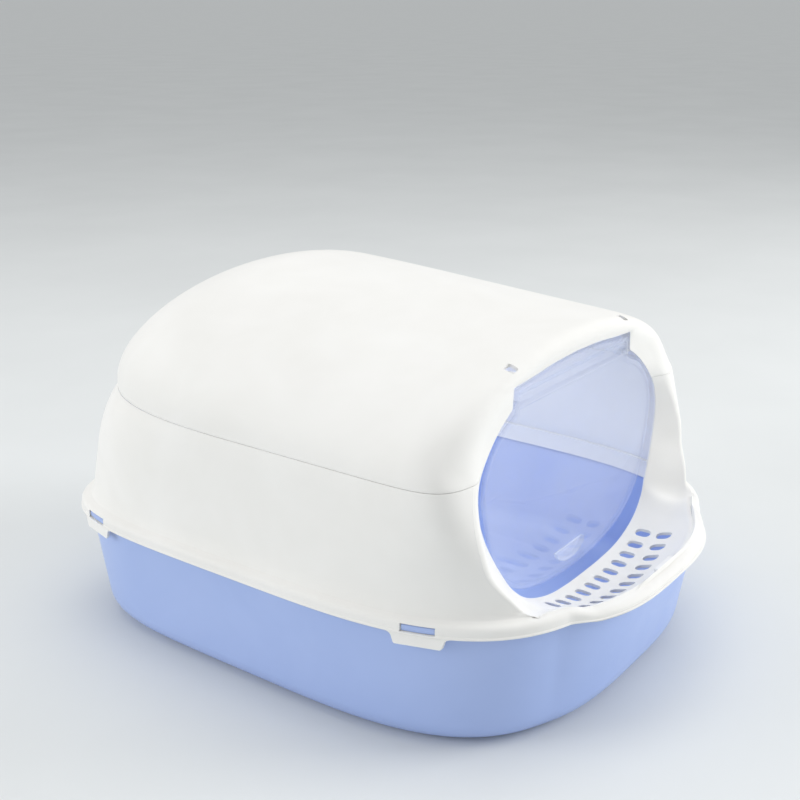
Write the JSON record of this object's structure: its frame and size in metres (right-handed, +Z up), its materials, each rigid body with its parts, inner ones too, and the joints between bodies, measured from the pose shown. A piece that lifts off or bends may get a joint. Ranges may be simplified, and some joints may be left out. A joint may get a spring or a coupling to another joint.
{
  "type": "hooded cat litter box",
  "caption": "Open plastic tray under a lift-off tunnel hood, with a clear swinging flap door and a perforated entry step.",
  "frame": {"origin": "on the floor under the middle of the tray rim, at the underside of the tray", "axes": "+Z up, the entrance faces -Y, X runs left to right across the box"},
  "size_m": [0.43, 0.552, 0.3213],
  "materials": {
    "tray_plastic": "satin moulded polypropylene, periwinkle blue",
    "hood_plastic": "satin moulded polypropylene, warm white",
    "flap_plastic": "clear glossy moulded plastic with a faint blue tint"
  },
  "bodies": {
    "tray": {"litter_tray": "tray_plastic"},
    "hood": {"hood_skirt": "hood_plastic", "hood_dome": "hood_plastic", "entry_step": "hood_plastic", "flap_bearing_left": "hood_plastic", "flap_bearing_right": "hood_plastic"},
    "flap": {"flap_door": "flap_plastic"}
  },
  "joints": [
    {"name": "hood_lift", "type": "slide", "parent": "tray", "child": "hood", "axis": [0, 0, 1], "range_m": [0, 0.2]},
    {"name": "flap_swing", "type": "hinge", "parent": "hood", "child": "flap", "pos_m": [0, -0.1778, 0.258], "axis": [1, 0, 0], "range_deg": [-75, 75]}
  ]
}
